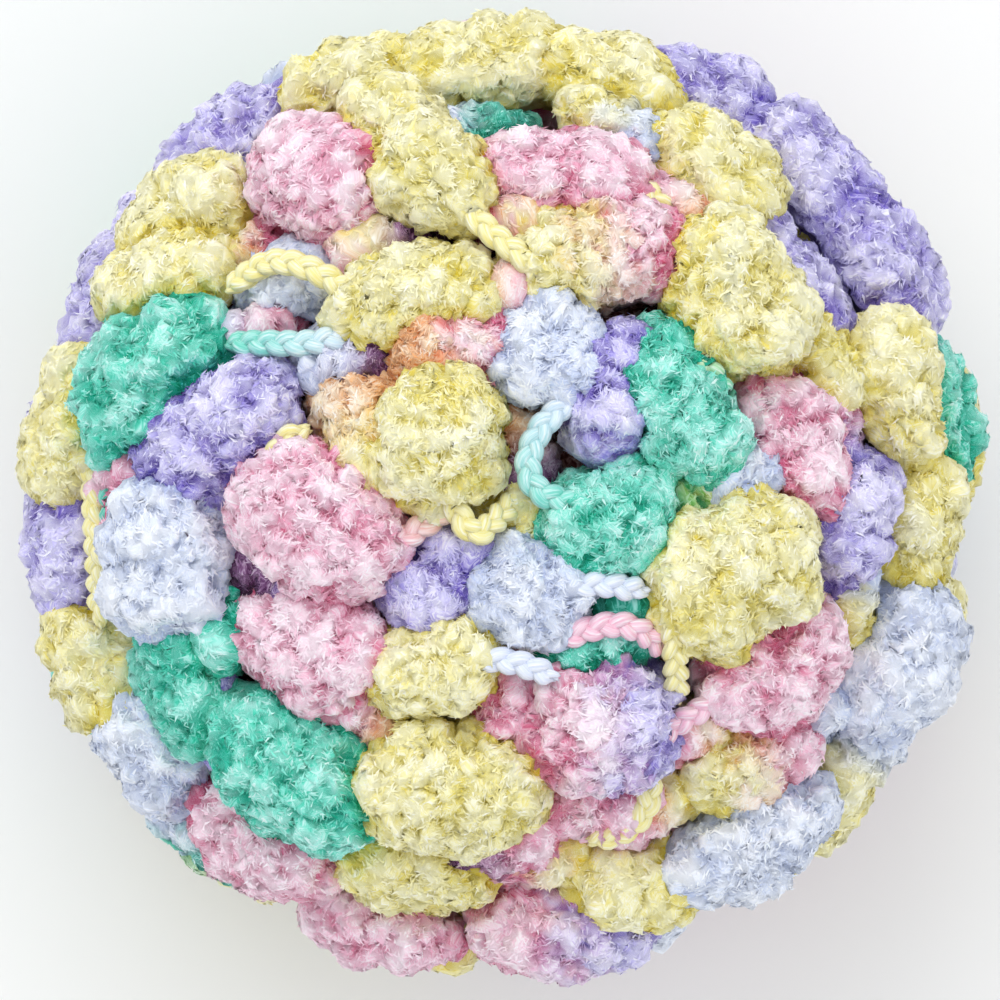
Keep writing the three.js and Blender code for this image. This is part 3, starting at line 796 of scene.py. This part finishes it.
def braidMesh(line, ends):  # the three strands of a link
    count = len(line)
    ahead = unit(np.gradient(line, axis=0))
    outward = np.stack([domeNormal(*p) for p in line])
    side = unit(np.cross(outward, ahead))
    up = np.cross(ahead, side)
    length = np.concatenate([[0], np.cumsum(np.linalg.norm(np.diff(line, axis=0), axis=1))])
    a, b = (dyeColours[name] for name in ends)
    fade = (length / length[-1])[:, None]
    toEnd = np.minimum(length, length[-1] - length)
    taper = cord["thinnest"] + (1 - cord["thinnest"]) * between(0, cord["ends"], toEnd)
    parts = []
    for strand in range(3):
        phase = 2 * math.pi * (length / (3 * cord["stitch"]) + strand / 3)
        middle = (line + side * (cord["swing"] * taper * np.sin(phase))[:, None]
                  + up * (cord["rise"] * taper * np.sin(2 * phase))[:, None])
        fat = cord["strand"] * taper * (1 + cord["swell"] * np.sin(2 * phase))
        run = unit(np.gradient(middle, axis=0))
        w = unit(np.cross(run, up))
        v = np.cross(run, w)
        rings = []
        for k in range(cord["sides"]):
            t = 2 * math.pi * k / cord["sides"]
            rings.append(middle + fat[:, None] * (math.cos(t) * w + cord["flat"] * math.sin(t) * v))
        verts = np.stack(rings, 1).reshape(-1, 3)
        normals = np.vstack([unit(verts - np.repeat(middle, cord["sides"], 0)), -run[:1], run[-1:]])
        verts = np.vstack([verts, middle[0] - run[0], middle[-1] + run[-1]])
        faces, uvs = [], []
        sides = cord["sides"]
        first, last = len(verts) - 2, len(verts) - 1
        for j in range(count - 1):
            for k in range(sides):
                a0, a1 = j * sides + k, j * sides + (k + 1) % sides
                u0, u1, v0, v1 = k / sides, (k + 1) / sides, j / count, (j + 1) / count
                faces += [(a0, a1, a1 + sides), (a0, a1 + sides, a0 + sides)]
                uvs += [((u0, v0), (u1, v0), (u1, v1)), ((u0, v0), (u1, v1), (u0, v1))]
        for k in range(sides):  # the tips of the strand, which take two small corners of the map
            k1 = (k + 1) % sides
            faces.append((first, k1, k))
            faces.append(((count - 1) * sides + k, (count - 1) * sides + k1, last))
            uvs += [((0, 0), (0.01, 0), (0, 0.01)), ((0, 0.99), (0.01, 0.99), (0, 1))]
        # painted shade: the dye is deeper where a strand dips under the next and down its sides, and paler on
        # top as painted highlight
        root, lock, tip = (a[k] * (1 - fade) + b[k] * fade for k in (2, 1, 0))
        dipShade = np.repeat((1 - between(*strandDyeAndShade["dipShadeRange"], np.sin(2 * phase)))[:, None], sides, 0)
        fromTop = 1 - np.sin(2 * math.pi * np.arange(sides) / sides)
        flankShade = np.tile(between(*strandDyeAndShade["flankShadeRange"], fromTop), count)[:, None]
        strandShade = np.clip(strandDyeAndShade["dipShade"] * dipShade + strandDyeAndShade["flankShade"] * flankShade, 0, 1)
        # above: the paler top, painted highlight; below: the deeper dye, painted shade
        above = np.repeat(lock + (tip - lock) * strandDyeAndShade["tip"], sides, 0)
        below = np.repeat(lock + (root - lock) * strandDyeAndShade["root"], sides, 0)
        colour = above * (1 - strandShade) + below * strandShade
        colours = np.vstack([colour, colour[:1], colour[-1:]])
        fibre = np.stack([np.repeat(length, sides), np.tile(np.arange(sides), count) * strandDyeAndShade["fibreTurn"],
                          np.full(count * sides, strand * strandDyeAndShade["fibreShift"])], 1)
        fibre = np.vstack([fibre, fibre[:1], fibre[-1:]])
        parts.append({"verts": verts[None], "faces": np.array(faces), "uvs": np.array(uvs),
                      "colours": colours[None], "fibre": fibre[None], "normals": normals[faces][None]})
    return parts


# Knitted polyester chain: smoother than the pile, each strand with its fibres drawn out along it.
# They are drawn as coarse as the pile's, for the same reason
chainLook = {
    "name": "knitted polyester chain",
    "fibre": (2.5, 0.36, 1),  # mm along the strand, round it, and from strand to strand
    "grain": 0.6,
    "waver": 0,
    "noise": (0.3, 0.7),
    "streakShadeGamma": (2.6, 0.5),
    "bump": 0.9,
    "bumpDeep": 0.3,
    "roughness": 0.6,
    "sheen": 0.2,
    "sheenRoughness": 0.5,
    "specular": 0.35,
}
strands = [strand for line, ends in cordLines for strand in braidMesh(line, ends)]
pieceFrom("chainLinks", joinedCopies(strands, math.ceil(math.sqrt(len(strands)))), fibreFinish(chainLook))

# The windings inside, which show only in the gaps between the pompoms, dyed dark brown as painted shade there
inside = {
    "rows": 60,
    "around": 96,
    "ridge": 1.6,        # how high a winding rises
    "ridgeEvery": 5.5,
    "tilt": 0.35,        # how much the windings slope
    "inset": 1,          # how far the grooves lie inside the core's size
    # dark browns that stand for the shade deep in the gaps, darker still in the grooves: painted shade
    "ridgePaintedShade": "b98a86",
    "groovePaintedShade": "8a5c50",
    "fibreStretch": (0.3, 0.3, 1),
}


def innerWindings():
    rows, around = inside["rows"], inside["around"]
    verts, ridges = [], []
    for j in range(rows + 1):
        down = math.pi * j / rows
        for k in range(around if 0 < j < rows else 1):
            a = 2 * math.pi * k / around
            way = np.array([math.sin(down) * math.cos(a), math.sin(down) * math.sin(a), -math.cos(down)])
            across = core["halfHeight"] * (way[2] + inside["tilt"] * way[0])
            ridge = math.sin(math.pi * across / inside["ridgeEvery"]) ** 2
            verts.append(way * (coreSize - inside["inset"] + inside["ridge"] * ridge) + coreMiddle)
            ridges.append(ridge)
    verts, ridges = np.array(verts), np.array(ridges)
    verts[:, 2] = np.maximum(verts[:, 2], 2 * pile["floorGap"])
    directions = unit((verts - coreMiddle) / coreSize)
    faces, used = roundFaces(directions)
    verts, ridges, directions = verts[used], ridges[used], directions[used]
    low, high = (np.array(linear(inside[key])) for key in ("groovePaintedShade", "ridgePaintedShade"))
    colours = low + (high - low) * ridges[:, None]
    return {"verts": verts, "faces": faces, "uvs": discMap(directions, faces).reshape(-1, 2),
            "colours": colours, "fibre": verts * inside["fibreStretch"]}


pieceFrom("innerWindings", innerWindings(), pileFinish)

# Pale floor, soft light from above and behind the ball's top edge, and a pale sky
floorLook = {"side": 6000, "colour": "f4f3f0", "roughness": 0.9}
half = floorLook["side"] * mm / 2
floorMesh = bpy.data.meshes.new("floor")
corners = [(-half, -half, 0), (half, -half, 0), (half, half, 0), (-half, half, 0)]
floorMesh.from_pydata(corners, [], [(0, 1, 2, 3)])
floor = bpy.data.objects.new("floor", floorMesh)
bpy.context.scene.collection.objects.link(floor)
floorMat = bpy.data.materials.new("matt painted board")
floorMat.use_nodes = True
floorSkin = floorMat.node_tree.nodes["Principled BSDF"]
floorSkin.inputs["Base Color"].default_value = linear(floorLook["colour"]) + [1]
floorSkin.inputs["Roughness"].default_value = floorLook["roughness"]
floorMesh.materials.append(floorMat)

lights = {
    "key": {"at": (-250, 900, 1100), "size": 1100, "power": 7.5},
    "fill": {"at": (500, -700, 1300), "size": 1200, "power": 2},
}
lightAim = (0, 0, 60)
skyLook = {"colour": (0.93, 0.96, 1.0, 1), "strength": 0.92}
for name, look in lights.items():
    lamp = bpy.data.objects.new(name, bpy.data.lights.new(name, "AREA"))
    lamp.data.size = look["size"] * mm
    lamp.data.energy = look["power"]
    lamp.location = [c * mm for c in look["at"]]
    aim = np.array(lightAim) - np.array(look["at"])
    tilt = math.acos(-aim[2] / np.linalg.norm(aim))
    lamp.rotation_euler = (tilt, 0, math.atan2(aim[1], aim[0]) - math.pi / 2)
    bpy.context.scene.collection.objects.link(lamp)
sky = bpy.data.worlds.new("sky")
sky.use_nodes = True
sky.node_tree.nodes["Background"].inputs["Color"].default_value = skyLook["colour"]
sky.node_tree.nodes["Background"].inputs["Strength"].default_value = skyLook["strength"]
bpy.context.scene.world = sky
bpy.context.scene.view_settings.view_transform = "Standard"
print("floor and lights set")
